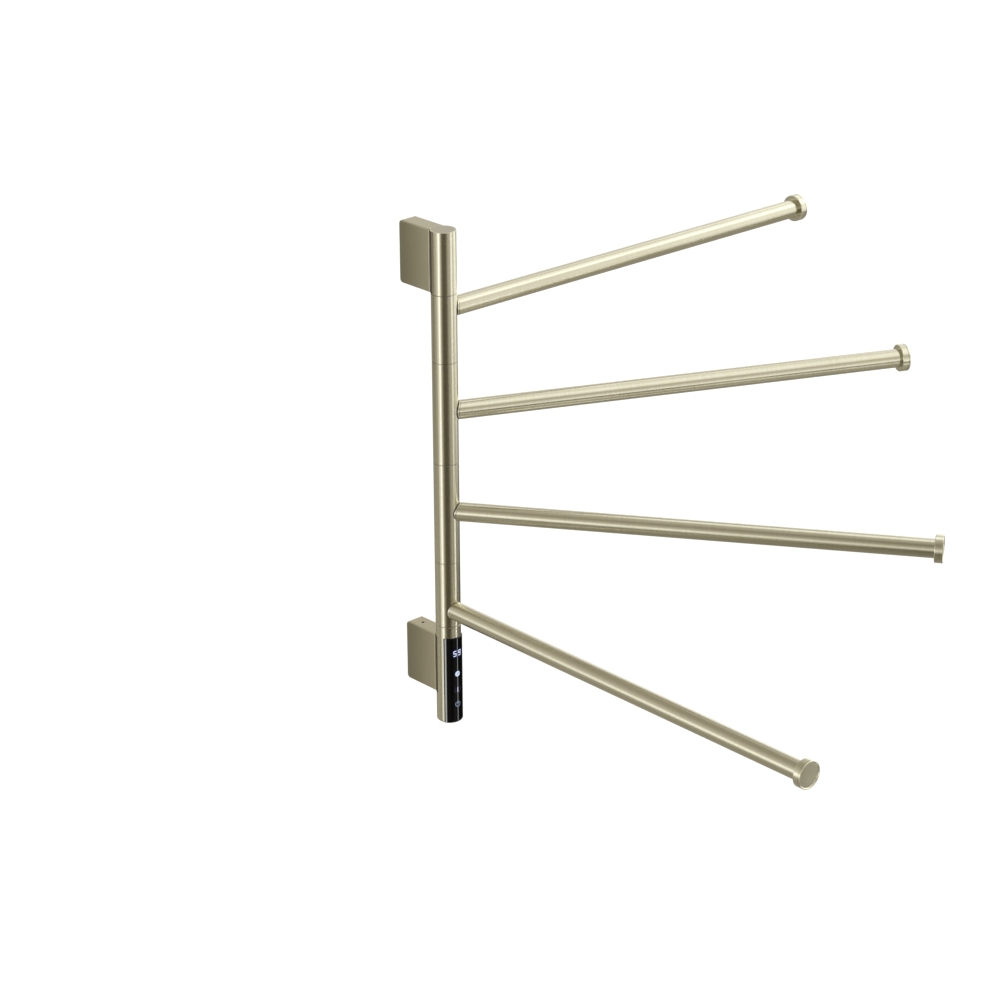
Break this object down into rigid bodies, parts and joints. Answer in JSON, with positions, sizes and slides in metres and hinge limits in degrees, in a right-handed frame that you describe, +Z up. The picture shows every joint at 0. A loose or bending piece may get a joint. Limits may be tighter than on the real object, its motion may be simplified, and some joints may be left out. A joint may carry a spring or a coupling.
{
  "type": "heated towel rack",
  "caption": "Wall-mounted heated towel rack: an upright round post on two slab brackets, swing-out heated arms with round end stops, and a touch display at its foot.",
  "frame": {"origin": "on the wall, at the centre of the upper wall plate's back face", "axes": "+X along the wall to the right as seen from the room, +Y into the wall, +Z up; the arms reach into the room on the -Y side"},
  "size_m": [0.6401, 0.6831, 0.656],
  "materials": {
    "champagne_steel": "brushed, champagne gold coated",
    "champagne_cast": "satin, champagne gold coated",
    "panel_gloss_black": "polished black acrylic",
    "plated_steel": "zinc plated",
    "black_screw": "black oxide",
    "aluminium_core": "turned",
    "acetal": "moulded black",
    "turned_brass": "turned",
    "rod_sheath": "drawn",
    "silicone": "moulded",
    "wire_insulation": "extruded",
    "circuit_board": "solder mask",
    "display_block": "moulded",
    "clear_acrylic": "polished",
    "black_nylon": "moulded",
    "lit_legend": "lit from behind"
  },
  "bodies": {
    "post": {"wall_plate_upper": "plated_steel", "wall_plate_lower": "plated_steel", "bracket_upper": "champagne_cast", "bracket_lower": "champagne_cast", "bracket_grub_screws": "black_screw", "bracket_bolts": "plated_steel", "post_top_tube": "champagne_steel", "post_top_cap": "champagne_steel", "top_core": "aluminium_core", "spindle": "plated_steel", "spindle_nut": "plated_steel", "stop_pins": "plated_steel", "seam_washers": "acetal", "lead_wires": "wire_insulation", "control_housing": "champagne_steel", "panel_cover": "panel_gloss_black", "foot_plug": "champagne_steel", "control_chassis": "black_nylon", "control_board": "circuit_board", "display_module": "display_block", "light_guides": "clear_acrylic", "cable_grommet": "silicone", "terminal_block": "black_nylon"},
    "arm_1": {"hub_tube_1": "champagne_steel", "hub_bushes_1": "acetal", "hub_nut_1": "turned_brass", "arm_spigot_1": "turned_brass", "saddle_ring_1": "champagne_steel", "arm_tube_1": "champagne_steel", "end_cap_1": "champagne_steel", "heating_rod_1": "rod_sheath", "rod_spacers_1": "silicone"},
    "arm_2": {"hub_tube_2": "champagne_steel", "hub_bushes_2": "acetal", "hub_nut_2": "turned_brass", "arm_spigot_2": "turned_brass", "saddle_ring_2": "champagne_steel", "arm_tube_2": "champagne_steel", "end_cap_2": "champagne_steel", "heating_rod_2": "rod_sheath", "rod_spacers_2": "silicone"},
    "arm_3": {"hub_tube_3": "champagne_steel", "hub_bushes_3": "acetal", "hub_nut_3": "turned_brass", "arm_spigot_3": "turned_brass", "saddle_ring_3": "champagne_steel", "arm_tube_3": "champagne_steel", "end_cap_3": "champagne_steel", "heating_rod_3": "rod_sheath", "rod_spacers_3": "silicone"},
    "arm_4": {"hub_tube_4": "champagne_steel", "hub_bushes_4": "acetal", "hub_nut_4": "turned_brass", "arm_spigot_4": "turned_brass", "saddle_ring_4": "champagne_steel", "arm_tube_4": "champagne_steel", "end_cap_4": "champagne_steel", "heating_rod_4": "rod_sheath", "rod_spacers_4": "silicone"}
  },
  "joints": [
    {"name": "arm_1_swing", "type": "hinge", "parent": "post", "child": "arm_1", "pos_m": [0, -0.067, -0.061], "axis": [0, 0, 1], "range_deg": [-178, 2]},
    {"name": "arm_2_swing", "type": "hinge", "parent": "post", "child": "arm_2", "pos_m": [0, -0.067, -0.194], "axis": [0, 0, 1], "range_deg": [-154.4, 25.6]},
    {"name": "arm_3_swing", "type": "hinge", "parent": "post", "child": "arm_3", "pos_m": [0, -0.067, -0.327], "axis": [0, 0, 1], "range_deg": [-125.2, 54.8]},
    {"name": "arm_4_swing", "type": "hinge", "parent": "post", "child": "arm_4", "pos_m": [0, -0.067, -0.46], "axis": [0, 0, 1], "range_deg": [-89.4, 90.6]}
  ]
}
